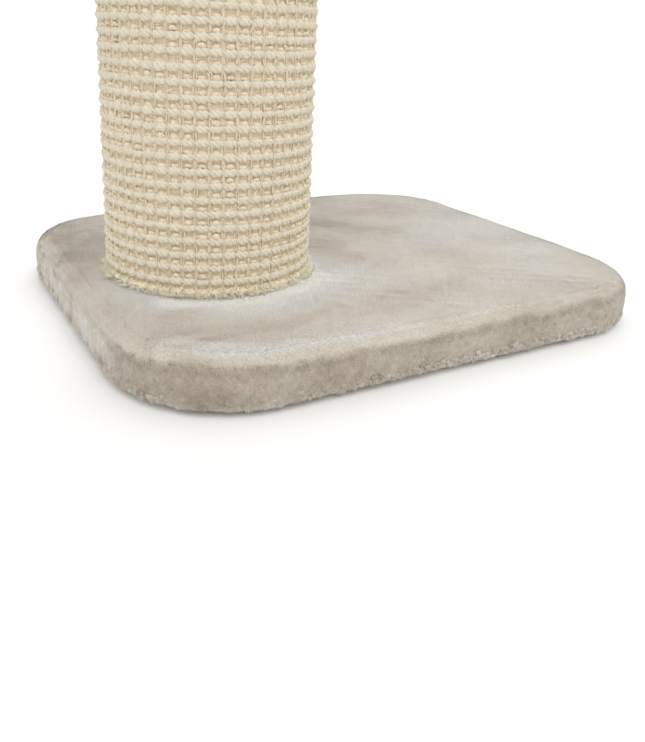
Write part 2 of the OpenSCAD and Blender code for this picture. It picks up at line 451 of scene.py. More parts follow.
# Brushed patches of the base's top, with their painted sheen and painted light and shade: x, y, half length
# and half width in mm, the turn in radians and the strength
BASE_PATCHES = [
    (-28, -56, 36, 17, 0.3, 0.42),
    (5, -72, 50, 12, 0.1, 0.12),
    (-75, -90, 45, 14, 0.1, 0.3),
    (-128, -68, 20, 8, -0.5, 0.35),
    (-105, -114, 55, 16, 0.05, -0.17),
    (-135, -90, 24, 14, 0, -0.12),
    (-10, -112, 34, 16, 0.2, -0.12),
    (-151, -124, 15, 10, 0.5, 0.25),
    (-150, -106, 14, 8, 0, -0.14),
    (-152, 62, 17, 52, 0, -0.28),
    (-172, 85, 10, 14, 0, 0.14),
    (-135, 110, 30, 30, 0, -0.14),
    (45, 58, 46, 48, 0.7, -0.15),
    (88, 108, 40, 26, 0.6, -0.09),
    (3, -2, 18, 30, 0, -0.24),
    (90, -5, 46, 26, 0.1, 0.18),
    (152, 0, 22, 85, 0, 0.22),
    (128, 40, 26, 40, 0, 0.1),
    (132, -72, 36, 30, 0.2, 0.2),
    (78, -105, 30, 12, 0.2, 0.14),
    (30, -104, 30, 14, 0.1, -0.06),
    (-166, 2, 10, 14, 0, -0.17),
    (-132, -125, 15, 7, 0, -0.14),
    (-131, -80, 14, 6, 0, -0.1),
    (10, 64, 12, 14, 0, 0.22),
    (36, 55, 14, 9, 0, -0.11),
    (-150, 100, 12, 10, 0, 0.15),
    (90, 10, 14, 10, 0, 0.15),
    (150, -95, 22, 30, 0.2, -0.12),
]
# Painted shade: CORNER_SHADE darkens the pile low on the front left corner, and CORNER_ROUNDING is where
# the painted shade of the upper rounding is darkest.
CORNER_SHADE = (-0.141, -0.141, 0.016)  # a darker patch low on the front left corner: x, y, size
CORNER_ROUNDING = (-0.148, -0.138, 0.018)  # where the upper rounding is darkest

BASE = Plate("base", 100, 1.0, 0.6, BASE_PATCHES)
PERCH = Plate("perch", 300, 0.4, 0.25, [])


def outline_inset(plate, local):
    """Distance inwards from the outline, in the plate's own frame."""
    q = np.abs(local[:, :2]) - (plate.half - plate.corner)
    return plate.corner - np.linalg.norm(np.maximum(q, 0), axis=1) - np.minimum(q.max(axis=1), 0)


def ahead(angle, heading):
    """1 on the side of the post that faces the heading, falling to 0 behind it."""
    return 0.5 + 0.5 * np.cos(angle - heading)


def painted_foot_light(points):
    """Painted light on the pile pushed aside at the foot of the post, against the shade the post casts
    there:
    a wide ring and a bright narrow one, both strongest at the post's front."""
    gap = near_post(points) - POST_R
    angle = np.arctan2(points[:, 1] - POST_Y, points[:, 0] - POST_X)
    wide = 0.42 * ease(0.030, 0.006, gap) * ahead(angle, -1.45) ** 1.4
    return wide + 0.50 * ease(0.014, 0.003, gap) * ahead(angle, -1.25) ** 2.5


class NapAndLight:
    """How light or dark the pile of a plate is at some points, with the brushed nap's sheen and the light
    and shade on the plate painted in: 0 is dark, 1 light. x and y run from the plate's middle, height from
    0 at its foot to 1 at its top. The marks are set one by one."""

    def __init__(self, plate, points):
        self.plate, self.points = plate, points
        self.local = plate.local(points)
        self.x, self.y = self.local[:, 0], self.local[:, 1]
        self.height = self.local[:, 2] / (plate.high[2] - plate.low[2])
        self.front = ease(0.02, -0.06, self.y)
        self.left = ease(-0.150, -0.168, self.x) * ease(-0.112, -0.070, self.y)
        self.left *= plate.strength
        self.level = self.edge_level()
        self.side = ease(self.level + 0.08, self.level - 0.05, self.height)
        self.clouds = self.waves(1, 0.060, (1.5, 1, 1))

    def waves(self, number, wavelength, stretch=(1, 1, 1)):
        return Waves(self.plate.seed + number, wavelength, stretch)(self.local)

    def blot(self, x, y, size):
        """A soft round spot, 1 in its middle."""
        return np.exp(-((np.hypot(self.x - x, self.y - y) / size) ** 2))

    def line(self, above, width):
        """A soft line round the plate, that far above the level where the side begins."""
        return np.exp(-(((self.height - self.level - above) / width) ** 2))

    def edge_level(self):
        """The height where the top's nap turns into the painted shade of the side."""
        level = 0.80 + 0.025 * ease(-0.060, -0.140, self.x)
        level += 0.045 * ease(0.060, 0.110, self.x)
        level += 0.02 * self.waves(9, 0.03)
        return level + (0.79 - level) * self.left

    def grain(self):
        streaks = self.waves(0, 0.010, (4, 1, 1))
        clouds = 0.05 * self.clouds * self.plate.strength ** 0.5
        return 0.02 * streaks + clouds + 0.03 * self.waves(2, 0.009)

    def painted_patches(self):
        """Soft-edged ovals of painted sheen, light and shade on the top, where the brushed nap lies, their
        borders wandering.
        """
        warp = 0.006 * self.waves(3, 0.03)
        painted = np.zeros(len(self.local))
        for x, y, length, width, turn, strength in self.plate.patches:
            dx, dy = self.x - x * MM + warp, self.y - y * MM - warp
            along = (dx * math.cos(turn) + dy * math.sin(turn)) / length
            across = (dy * math.cos(turn) - dx * math.sin(turn)) / width
            painted += strength * (1 - ease(0.4, 1.5, np.hypot(along, across) / MM))
        return painted

    def painted_edge_highlight(self):
        """Painted highlight on the pile along the front edge, broader at its left end and weaker at its
        right.
        """
        width = 0.009 + 0.008 * ease(-0.085, -0.100, self.x)
        width *= 1 + 0.30 * self.waves(4, 0.040)
        band = ease(width + 0.004, width - 0.003, outline_inset(self.plate, self.local))
        on_rounding = ease(self.level - 0.01, self.level + 0.05, self.height)
        band *= (0.2 * on_rounding + 0.8 * ease(0.94, 0.99, self.height)) * self.front
        band *= ease(-0.156, -0.136, self.x) * (1 - 0.65 * ease(-0.03, 0.04, self.x))
        return band * (0.34 + 0.10 * self.waves(15, 0.0032))

    def painted_left_light(self):
        """Painted light on the left side's pile, which lies towards the light, and painted shade on its
        upper rounding.
        """
        left_light = 0.9 + 0.4 * self.clouds + 0.35 * self.waves(14, 0.009)
        left_light *= 0.42 * ease(0.05, 0.40, self.height) * ease(0.86, 0.66, self.height)
        return self.left * (left_light - 0.14 * ease(0.74, 0.86, self.height))

    def painted_low_light(self):
        """Painted light on the lowest pile, which curls out, against the shade low on the side."""
        light = 0.17 * ease(0.30, 0.10, self.height) + 0.16 * ease(0.17, 0.06, self.height)
        return self.side * self.plate.strength * light

    def rounding_shade(self):
        """Painted shade on the upper rounding of the front, most at the left corner."""
        rounding = ease(0.80, 0.86, self.height) * ease(1.0, 0.95, self.height) * self.front
        return rounding * (0.13 + 0.12 * self.blot(*CORNER_ROUNDING)) * ease(-0.172, -0.152, self.x)

    def side_shade(self):
        """Painted shade on the side, more so to the left, with clumps and small pits."""
        shade = 0.35 - 0.05 * self.waves(8, 0.0042) - 0.03 * self.waves(10, 0.02)
        shade += 0.05 * ease(0.04, -0.02, self.x)
        pits = ease(0.9, 1.3, self.waves(31, 0.0028))
        return self.side * (shade + 0.22 * pits * ease(-0.1, 0.7, self.waves(32, 0.03)))

    def fold_shade(self):
        """Painted shade: a dark line under the upper rounding, and short dashes on it at the left of the
        front.
        """
        dashes = ease(0.3, 0.7, self.waves(33, 0.0028, (2, 2, 1)))
        dashes *= self.line(0.01, 0.022) * self.front * ease(-0.06, -0.09, self.x)
        return (1 - self.left) * (0.10 * self.line(-0.08, 0.06) + 0.35 * dashes)

    def total(self):
        nap_and_light = 0.57 + self.grain() + self.painted_edge_highlight() + self.painted_left_light() + self.painted_low_light()
        nap_and_light -= self.rounding_shade() + self.side_shade() + self.fold_shade()
        marks = self.painted_patches()
        if self.plate.carries_post:
            marks += painted_foot_light(self.points)
            nap_and_light -= 0.14 * self.blot(*CORNER_SHADE) * ease(0.60, 0.35, self.height)
        nap_and_light += ease(0.75, 0.95, self.height) * marks
        return np.clip(nap_and_light, 0.02, NAP_SPAN - 0.05)


def ground_relief(plate, points):
    """How far the pile's ground swells in or out, in metres."""
    local = plate.local(points)
    swell = 0.35 * MM * Waves(plate.seed + 5, 0.05)(local)
    lumps = 0.10 * MM * Waves(plate.seed + 6, 0.009)(local)
    side = ease(plate.high[2] - 4 * MM, plate.high[2] - 12 * MM, points[:, 2])
    clumps = 0.25 * MM * side * Waves(plate.seed + 7, 0.006, stretch=(1, 1, 1.6))(local)
    return swell + lumps + clumps


def staple_dents(points, staples):
    """1 where a hem staple pulls the cloth in, fading to 0 a few millimetres from it."""
    metal = mesh_points(NODES[staples].data)
    tree = KDTree(len(metal))
    for index, (x, y, _) in enumerate(metal):
        tree.insert((x, y, 0), index)
    tree.balance()
    away = np.array([tree.find((x, y, 0))[2] for x, y in points[:, :2]])
    return np.exp(-((away / (2.2 * MM)) ** 2))


def plush_cover(plate, material):
    """The cover's woven ground: one sheet over the top, down the sides and under as a hem."""
    rim = Rim(plate)
    columns = int(rim.length / CELL)
    rows = int(rim.parts[-1] / CELL)
    u, s = np.meshgrid(np.arange(columns) * rim.length / columns, np.linspace(0, rim.parts[-1], rows))
    rim_points, rim_normals = rim.at(u.ravel(), s.ravel())
    ring = np.arange(columns)
    cells = (np.arange(rows - 1)[:, None] * columns + ring).ravel()
    beside = (np.arange(rows - 1)[:, None] * columns + (ring + 1) % columns).ravel()
    quads = np.column_stack([cells, cells + columns, beside + columns, beside])

    grid = hex_grid(plate, CELL, plate.upper + FLAT_BAND + 0.6 * CELL)
    triangles = triangulate([*rim_points[:columns, :2], *grid], loop_edges(0, columns))
    triangles[triangles >= columns] += len(rim_points) - columns
    points = np.concatenate([rim_points, np.column_stack([grid, np.full(len(grid), plate.high[2])])])
    normals = np.concatenate([rim_normals, np.tile([0.0, 0.0, 1.0], (len(grid), 1))])

    nap_and_light = NapAndLight(plate, points).total()
    under = normals[:, 2] < -0.5
    depth = np.where(under, HEM_DEPTH, PILE_DEPTH) - ground_relief(plate, points)
    dents = staple_dents(points[under], plate.prefix + "_staples")
    depth[under] = np.clip(depth[under], 0.1 * MM, 0.8 * MM) + 0.9 * MM * dents
    points = points - normals * depth[:, None]
    piece = new_object(plate.prefix + "_plush", points, [quads, triangles], material, fields={"nap_and_light": nap_and_light})
    return finish_piece(piece, "plush", plate.prefix + "_cover")


def tufts(name, roots, normals, lean, length, width, rise, nap_and_light, material):
    """Pile tufts: three-sided leaning spikes, each a small closed solid. They are shaded
    almost as the surface they stand on, as velvet is."""
    count = len(roots)
    lean = unit(lean - normals * (lean * normals).sum(axis=1)[:, None])
    across = np.cross(normals, lean)
    angles = np.arange(3) * TAU / 3
    wide = np.cos(angles)[None, :, None] * across[:, None, :]
    deep = TUFT_DEPTH * np.sin(angles)[None, :, None] * lean[:, None, :]
    ring = wide + deep
    base = roots[:, None, :] + ring * width[:, None, None]
    tip = roots + (lean * TUFT_REACH + normals * rise) * length[:, None]
    points = np.concatenate([base, tip[:, None, :]], axis=1).reshape(-1, 3)
    own = np.concatenate([ring, 0.8 * lean[:, None, :]], axis=1)
    loose = 0.08 + 0.27 * (1 - np.abs(normals[:, 2]))
    shading = unit((lifted(normals)[:, None, :] + loose[:, None, None] * own).reshape(-1, 3))
    first = np.arange(count)[:, None] * 4
    sides = [first + np.array(face) for face in ([1, 0, 3], [2, 1, 3], [0, 2, 3], [0, 1, 2])]
    fields = {"nap_and_light": np.repeat(np.clip(nap_and_light, 0, NAP_SPAN), 4)}
    return new_object(name, points, [np.concatenate(sides)], material, fields=fields, normals=shading)


def lean_field(plate, points, normals):
    """The nap's direction: mostly down and to the front, wandering."""
    local = plate.local(points)
    turn = plate.restless * Waves(plate.seed + 11, 0.06)(local)
    turn += 0.06 * Waves(plate.seed + 12, 0.012, stretch=(4, 1, 1))(local)
    heading = -0.5 * math.pi + turn
    flat = np.column_stack([np.cos(heading), np.sin(heading), np.zeros(len(local))])
    down = np.array([0.0, 0.0, -1.0])
    steep = ease(0.9, 0.3, normals[:, 2])[:, None]
    clumps = np.column_stack([Waves(plate.seed + 13 + axis, 0.006)(local) for axis in range(3)])
    return flat * (1 - steep) + (down + 0.2 * flat + 0.42 * clumps) * steep


def lifted(normals):
    """Directions for shading the pile of the lower rounding: its tips curl out, so it stays light."""
    reach = ease(0.0, 0.35, np.linalg.norm(normals[:, :2], axis=1))
    z = normals[:, 2] * (1 - reach) + np.maximum(normals[:, 2], -0.12) * reach
    return unit(np.column_stack([normals[:, :2], z]))


def foot_locks(plate, rim, material):
    """Locks of longer pile round the plate's lower edge, each a fan of tufts with a round end."""
    rng = np.random.default_rng(plate.seed + 21)
    count, tips = int(rim.length / LOCK_SPACING), 11
    u = np.sort(rng.uniform(0, rim.length, count))
    s = rim.parts[2] + rng.uniform(-2.5, 2.8, count) * MM
    size = rng.uniform(0.6, 1.7, count) * MM
    sway = rng.normal(0, 0.25, count)
    push = rng.uniform(0.1, 0.9, count)
    shade = rng.normal(0.03, 0.06, count)
    u, s, size, sway, push, shade = (np.repeat(values, tips) for values in (u, s, size, sway, push, shade))
    across = np.tile(np.linspace(-1, 1, tips), count)
    u = u + across * size
    s = s + rng.normal(0, 0.2, s.size) * size
    roots, normals = rim.at(u, s)
    along = unit(rim.at(u + MM, s)[0] - roots)
    spread = sway + 0.25 * across + rng.normal(0, 0.12, u.size)
    lean = np.array([0.0, 0.0, -0.8]) + along * spread[:, None] + normals * push[:, None]
    right_end = ease(0.02, 0.12, roots[:, 0] - plate.centre[0])
    nap_and_light = NapAndLight(plate, roots).total() + shade + 0.05 * right_end + rng.normal(0, 0.03, u.size)
    roots = roots - normals * PILE_DEPTH
    length = (1.6 * MM + size) * np.sqrt(1 - 0.8 * across * across)
    width = 0.30 * MM + 0.22 * size
    rise = rng.uniform(0.25, 0.45, (u.size, 1))
    return tufts(plate.prefix + "_pile_locks", roots, normals, lean, length, width, rise, nap_and_light, material)


def pile_group(name, plate, points, normals, material, rng):
    """The tufts that stand at the points. At the foot of the post they lean against it."""
    nap_and_light = NapAndLight(plate, points).total() + rng.normal(0, 0.05, len(points))
    lean = lean_field(plate, points, normals) + rng.normal(0, 0.18, points.shape)
    length = rng.uniform(1.9, 2.7, len(points)) * MM * (1 - 0.3 * (1 - normals[:, 2]))
    roots = points + normals * (ground_relief(plate, points) - PILE_DEPTH - 0.25 * MM)[:, None]
    width = rng.uniform(0.45, 0.65, len(points)) * MM
    rise = 0.26 + 0.16 * (1 - normals[:, 2:])
    if plate.carries_post:
        hug = ease(4.5 * MM, 1.0 * MM, near_post(points) - POST_R)[:, None]
        toward = (POST_X, POST_Y, 0) - points * (1, 1, 0)
        lean = lean * (1 - hug) + unit(toward) * hug
        rise = rise + 0.55 * hug
    return tufts(name, roots, normals, lean, length, width, rise, nap_and_light, material)


def keep_off_floor(plate, piece):
    points = mesh_points(piece.data)
    points[:, 2] = np.maximum(points[:, 2], plate.low[2] + FLOOR_GAP)
    piece.data.vertices.foreach_set("co", points.ravel())


def plate_pile(plate, material):
    """All the pile of a plate: the top in three strips, the rim in two, and the locks at its foot."""
    rng = np.random.default_rng(plate.seed + 20)
    xy = hex_grid(plate, PILE_SPACING, plate.upper)
    xy = xy + rng.uniform(-0.45, 0.45, xy.shape) * PILE_SPACING
    if plate.carries_post:
        xy = xy[near_post(xy) > POST_R - 1.5 * MM]
    top = np.column_stack([xy, np.full(len(xy), plate.high[2])])
    up = np.tile([0.0, 0.0, 1.0], (len(top), 1))

    rim = Rim(plate)
    around = int(rim.length / PILE_SPACING)
    down = int((rim.parts[3] + 6 * MM - FLAT_BAND) / PILE_SPACING)
    steps = FLAT_BAND + np.arange(down) * PILE_SPACING
    u, s = np.meshgrid(np.arange(around) * rim.length / around, steps)
    u = u.ravel() + rng.uniform(-0.5, 0.5, u.size) * PILE_SPACING
    s = s.ravel() + rng.uniform(-0.5, 0.5, s.size) * PILE_SPACING
    edge, edge_normals = rim.at(u, s)

    strip = np.digitize(top[:, 0], plate.centre[0] + plate.half[0] * np.array([-0.31, 0.31]))
    front = edge[:, 1] < plate.centre[1]
    groups = [(part, top[strip == i], up[strip == i]) for i, part in enumerate(("left", "middle", "right"))]
    groups.append(("front_rim", edge[front], edge_normals[front]))
    groups.append(("back_rim", edge[~front], edge_normals[~front]))
    pieces = []
    for part, points, normals in groups:
        name = f"{plate.prefix}_pile_{part}"
        pieces.append(pile_group(name, plate, points, normals, material, rng))
    pieces.append(foot_locks(plate, rim, material))
    for piece in pieces:
        keep_off_floor(plate, piece)
        finish_piece(piece, "plush")
    return pieces


# ---------- felt panels ----------

FELT_CELL = 2.5 * MM
FELT_GAP = 0.3 * MM  # between the felt and the hem
FELT_BEVEL = 0.9 * MM  # width over which the cut edge rounds off


def felt_panel(plate, material):
    """The thin felt glued over the raw board under a plate, inside the hem: a closed sheet,
    its face slightly uneven, its cut edges rounded over."""
    node = plate.prefix + "_felt"
    hole = near_post(mesh_points(NODES[node].data)).min()
    inset = plate.hem + FELT_GAP
    rim = Rim(plate)
    around, hole_points = 360, 72
    centres, normals = rim.skeleton(np.arange(around) * rim.length / around)
    turn = np.arange(hole_points) * TAU / hole_points
    circle = np.column_stack([np.cos(turn), np.sin(turn)])
    loops = [centres + (plate.corner - inset - step) * normals for step in (0, FELT_BEVEL)]
    loops += [(POST_X, POST_Y) + circle * (hole + step) for step in (0, FELT_BEVEL)]
    grid = hex_grid(plate, FELT_CELL, inset + 2 * FELT_BEVEL)
    grid = grid[near_post(grid) > hole + 2 * FELT_BEVEL]
    flat = np.concatenate([*loops, grid])
    edges, first = [], 0
    for loop in loops:
        edges += loop_edges(first, len(loop))
        first += len(loop)
    triangles = triangulate(flat, edges)
    triangles = triangles[near_post(flat[triangles].mean(axis=1)) > hole]

    local = np.column_stack([flat - plate.centre[:2], np.zeros(len(flat))])
    edge = np.minimum(outline_inset(plate, local) - inset, near_post(flat) - hole)
    uneven = 0.10 * MM * Waves(plate.seed + 40, 0.03)(local)
    face = 0.15 * MM + 0.5 * MM * ease(FELT_BEVEL, 0, edge) + uneven
    under = np.column_stack([flat, plate.low[2] + face])
    over = np.column_stack([flat, np.full(len(flat), plate.low[2] + plate.hem_thickness - 0.05 * MM)])
    shift = len(flat)
    outer_wall = np.array(loop_edges(0, around))
    inner_wall = np.array(loop_edges(2 * around, hole_points))[:, ::-1]
    walls = np.concatenate([outer_wall, inner_wall])
    walls = np.column_stack([walls[:, 0], walls[:, 1], walls[:, 1] + shift, walls[:, 0] + shift])
    faces = [triangles[:, ::-1], triangles + shift, walls]
    piece = new_object(plate.prefix + "_felt_panel", np.concatenate([under, over]), faces, material)
    finish_piece(piece, "felt", node)


# ---------- sisal cloth ----------

RIB_PITCH = 7.6 * MM
FIRST_RIB = 8.6 * MM  # below it the cloth's cut edge frays
EDGE_CORD = 2.5 * MM  # height of the thinner cord in the frayed edge
LAST_RIB = 4.0 * MM  # the top rib's least distance from the upper edge
RIB_COUNT = int((POST_Z1 - POST_Z0 - FIRST_RIB - LAST_RIB) / RIB_PITCH) + 1
WARPS = 52  # binding warps round the post, one between each pair of bumps
BUMP = TAU * POST_R / WARPS  # length of a bump along its rib
STEPS_PER_BUMP = 10
STEPS_PER_RIB = 6
SEAM_GAP = 0.5 * MM
RIB_DEPTH = 2.0 * MM  # half of a rib's thickness
WEFT_DROP = 0.66  # how far under its rib a weft lies, in rib pitches
PLIES = 3
PLY_TURN = 9.9 * MM  # length in which the plies go once round
STRAND_SHIFT = 0.37  # sets each strand's grain apart from the next one's
BACK_DEPTH = 2.15 * MM  # the dense back of the cloth lies this far under the ribs' crests


def from_seam(theta):
    """Distance round the post from the seam, in metres."""
    return np.abs((theta - SEAM + math.pi) % TAU - math.pi) * POST_R


def seam_dip(theta, depth):
    """Strands lie lower along the seam, where the staples hold them down."""
    return depth * np.exp(-((from_seam(theta) / (6 * MM)) ** 2))


def round_points(radius, theta, z):
    return np.stack([POST_X + radius * np.cos(theta), POST_Y + radius * np.sin(theta), z], axis=-1)


def compass(theta):
    """Unit vectors outwards from the post and round it."""
    cos, sin, flat = np.cos(theta), np.sin(theta), np.zeros(len(theta))
    return np.column_stack([cos, sin, flat]), np.column_stack([-sin, cos, flat])


def sweep(strands, sides, upright):
    """Tubes round or up the post. strands is (tubes, steps, 5): the middle line's radius, angle
    and height, then the radial and the other half width."""
    tubes, steps = strands.shape[:2]
    psi = np.arange(sides) * TAU / sides
    radius, theta, z, thick, wide = (strands[..., k, None] for k in range(5))
    run = z if upright else theta * POST_R
    radius = radius + thick * np.cos(psi)
    if upright:
        theta = theta + wide * np.sin(psi) / POST_R
    else:
        z = z + wide * np.sin(psi)
    radius, theta, z = np.broadcast_arrays(radius, theta, z)
    index = np.arange(radius.size).reshape(tubes, steps, sides)
    after = np.roll(index, -1, axis=2)
    quads = np.stack([index[:, :-1], index[:, 1:], after[:, 1:], after[:, :-1]], axis=-1).reshape(-1, 4)
    faces = [quads, index[:, 0, ::-1], index[:, -1]]
    if upright:
        faces = [face[:, ::-1] for face in faces]
    shift = np.arange(tubes)[:, None, None] * STRAND_SHIFT
    uv = np.stack(np.broadcast_arrays(run + shift, psi / TAU + shift), axis=-1).reshape(-1, 2)
    # How deep each point lies under the crests, for the painted shade of the recesses.
    depth = ease(POST_R - 0.9 * MM, POST_R - 3.0 * MM, radius).ravel()
    return round_points(radius, theta, z).reshape(-1, 3), faces, uv, depth


def turns_round():
    """Angles of one turn round the post, open at the seam, the place along it in bumps, and
    the number of the bump."""
    gap = SEAM_GAP / POST_R
    turn = np.linspace(gap, TAU - gap, WARPS * STEPS_PER_BUMP + 1)
    place = turn / TAU * WARPS
    return SEAM + turn, place, np.clip(place.astype(int), 0, WARPS - 1)


def rib_strands(rows, seed, share=1.0):
    """The plies of each rib, pinched at every binding warp. share thins the whole rib."""
    rng = np.random.default_rng(seed)
    theta, place, bump = turns_round()
    flat_run = round_points(POST_R, theta, theta * 0)
    from_notch = np.abs(place - np.round(place)) * BUMP
    notch = np.exp(-((from_notch / (0.85 * MM)) ** 2))
    pinch = 1 - 0.24 * notch
    taper = 1 - 0.30 * np.exp(-((from_notch / (1.5 * MM)) ** 2))
    strands = []
    for row in rows:
        z = POST_Z0 + FIRST_RIB + row * RIB_PITCH
        swell = rng.normal(1, 0.07, WARPS)[bump]
        push = rng.normal(0, 0.15, WARPS)[bump] * MM * (1 - notch)
        key = seed * 1000 + int(row)
        wander = 0.22 * MM * Waves(key, 0.09)(flat_run)
        centre = POST_R - RIB_DEPTH - 0.7 * MM * notch - seam_dip(theta, 0.9 * MM) + push * 0.5
        twist = rng.uniform(0, TAU) - place * BUMP * TAU / PLY_TURN
        twist = twist + 0.6 * Waves(key + 500, 0.03)(flat_run)
        for ply in range(PLIES):
            angle = twist + ply * TAU / PLIES
            radius = centre + 0.55 * MM * np.cos(angle) * pinch
            height = z + share * (wander + push + 1.0 * MM * np.sin(angle) * taper * swell)
            thick, wide = share * (1.5 * MM * pinch), share * (1.74 * MM * taper * swell)
            strands.append(np.stack([radius, theta, height, thick, wide], axis=-1))
    return np.array(strands)


def weft_strands(rows, seed):
    """The thin weft in each furrow, which shows as a short dash between two binding warps."""
    rng = np.random.default_rng(seed)
    theta, place, bump = turns_round()
    from_middle = np.abs(place - np.floor(place) - 0.5) * BUMP
    dash = np.exp(-((from_middle / (1.9 * MM)) ** 4))
    strands = []
    for row in rows:
        lift = rng.normal(0, 0.42, WARPS)[bump] * MM * dash
        size = rng.normal(1, 0.22, WARPS)[bump]
        radius = POST_R - (2.6 - 0.85 * dash) * MM - seam_dip(theta, 1.2 * MM) + lift * 0.8
        height = POST_Z0 + FIRST_RIB + (row - WEFT_DROP) * RIB_PITCH + lift
        thick, wide = (0.6 + 0.35 * dash) * MM * size, (0.75 + 0.6 * dash) * MM * size
        strands.append(np.stack([radius, theta, height, thick, wide], axis=-1))
    return np.array(strands)


def warp_strands(numbers, seed):
    """Binding warps: three thin threads that close in over a rib and fan out in a furrow."""
    rng = np.random.default_rng(seed)
    z = np.linspace(POST_Z0 + 1.0 * MM, POST_Z1 - 1.0 * MM, RIB_COUNT * STEPS_PER_RIB + 8)
    phase = (z - POST_Z0 - FIRST_RIB) / RIB_PITCH
    over_rib = 0.5 + 0.5 * np.cos(TAU * phase)
    width = (0.56 - 0.20 * over_rib) * MM
    knots = np.arange(-2, RIB_COUNT + 3)
    strands = []
    for number in numbers:
        sway = 0.25 * MM * Waves(seed * 7919 + number, 0.05)(np.column_stack([z * 0, z * 0, z]))
        for side in (-1, 0, 1):
            spread = side * (0.32 + 0.55 * (1 - over_rib) ** 1.3) * MM
            jitter = np.interp(phase, knots, rng.normal(0, 0.50, len(knots))) * MM
            theta = SEAM + TAU * number / WARPS + (spread + sway + jitter) / POST_R
            radius = POST_R - (2.05 - 0.10 * over_rib) * MM - seam_dip(theta, 1.3 * MM) + jitter * 0.6
            strands.append(np.stack([radius, theta, z, width, width], axis=-1))
    return np.array(strands)


def woven_piece(name, strands, sides, upright, material):
    points, faces, uv, depth = sweep(strands, sides, upright)
    piece = new_object(name, points, faces, material, uv=uv, fields={"depth": depth})
    return finish_piece(piece, "sisal", "sisal_cloth")


def strand_bands(kind, strands, count, bands, seed, sides, upright, material):
    """All the strands of one kind, as that many pieces one above or beside the other."""
    pieces = []
    for band, numbers in enumerate(np.array_split(np.arange(count), bands)):
        name = f"sisal_{kind}_{band + 1}"
        pieces.append(woven_piece(name, strands(numbers, seed + band), sides, upright, material))
    return pieces


def cloth_ground(material):
    """The dense back of the cloth, seen between the strands, its colour painted dark as the shade there."""
    around, up = 260, 180
    theta, z = np.meshgrid(
        SEAM + np.linspace(SEAM_GAP / 2, TAU * POST_R - SEAM_GAP / 2, around) / POST_R,
        np.linspace(POST_Z0 + 0.2 * MM, POST_Z1 - 0.2 * MM, up),
    )
    place = (theta - SEAM) / TAU * WARPS
    weave = 0.2 * MM * np.cos(TAU * place) * np.cos(TAU * (z - POST_Z0) / RIB_PITCH * 2)
    outer = round_points(POST_R - BACK_DEPTH + weave, theta, z).reshape(-1, 3)
    inner = round_points(np.full(theta.shape, TUBE_R + 0.1 * MM), theta, z).reshape(-1, 3)
    index = np.arange(around * up).reshape(up, around)
    quads = np.stack([index[:-1, :-1], index[:-1, 1:], index[1:, 1:], index[1:, :-1]], axis=-1)
    quads = quads.reshape(-1, 4)
    shift = around * up
    rims = []
    for edge in (index[0], index[:, -1], index[-1, ::-1], index[::-1, 0]):
        rims.append(np.column_stack([edge[:-1], edge[:-1] + shift, edge[1:] + shift, edge[1:]]))
    faces = [quads, quads[:, ::-1] + shift, np.concatenate(rims)]
    uv = np.column_stack([(theta * POST_R).ravel(), z.ravel() * 30])
    # The depth field is set deep all over the back, for painted shade.
    piece = new_object(
        "sisal_ground", np.concatenate([outer, inner]), faces, material,
        uv=np.concatenate([uv, uv]), fields={"depth": np.full(2 * shift, 0.8)},
    )
    return finish_piece(piece, "sisal", "sisal_cloth")


def hairs(name, roots, directions, length, radius, droop, material, seed, facing=None):
    """Loose fibres: thin three-sided tapering strands with two bends, shaded as they lie or
    nearly as a surface that looks the given way."""
    count = len(roots)
    rng = np.random.default_rng(seed)
    directions = unit(directions)
    side = unit(np.cross(directions, rng.normal(size=(count, 3))))
    third = np.cross(directions, side)
    rings = []
    for share, taper in ((0.0, 1.0), (0.4, 0.85), (0.75, 0.55)):
        centre = roots + directions * (length * share)[:, None] + droop * share * share
        for k in range(3):
            offset = math.cos(k * TAU / 3) * side + math.sin(k * TAU / 3) * third
            rings.append(centre + offset * (radius * taper)[:, None])
    tip = roots + directions * length[:, None] + droop
    points = np.stack([*rings, tip], axis=1).reshape(-1, 3)
    quads, triangles = [], [[2, 1, 0]]
    for k in range(3):
        n = (k + 1) % 3
        quads += [[k, n, n + 3, k + 3], [k + 3, n + 3, n + 6, k + 6]]
        triangles.append([k + 6, n + 6, 9])
    first = np.arange(count)[:, None] * 10
    faces = [np.concatenate([first + np.array(face) for face in kind]) for kind in (quads, triangles)]
    uv = np.column_stack([np.tile(np.linspace(0, 0.004, 10), count), np.repeat(rng.random(count), 10)])
    shading = None
    if facing is not None:
        centres = points.reshape(count, 10, 3).mean(axis=1).repeat(10, axis=0)
        shading = unit(np.repeat(facing, 10, axis=0) + 0.5 * unit(points - centres))
    depth = np.zeros(len(points))
    piece = new_object(name, points, faces, material, uv=uv, fields={"depth": depth}, normals=shading)
    return finish_piece(piece, "sisal", "sisal_cloth")


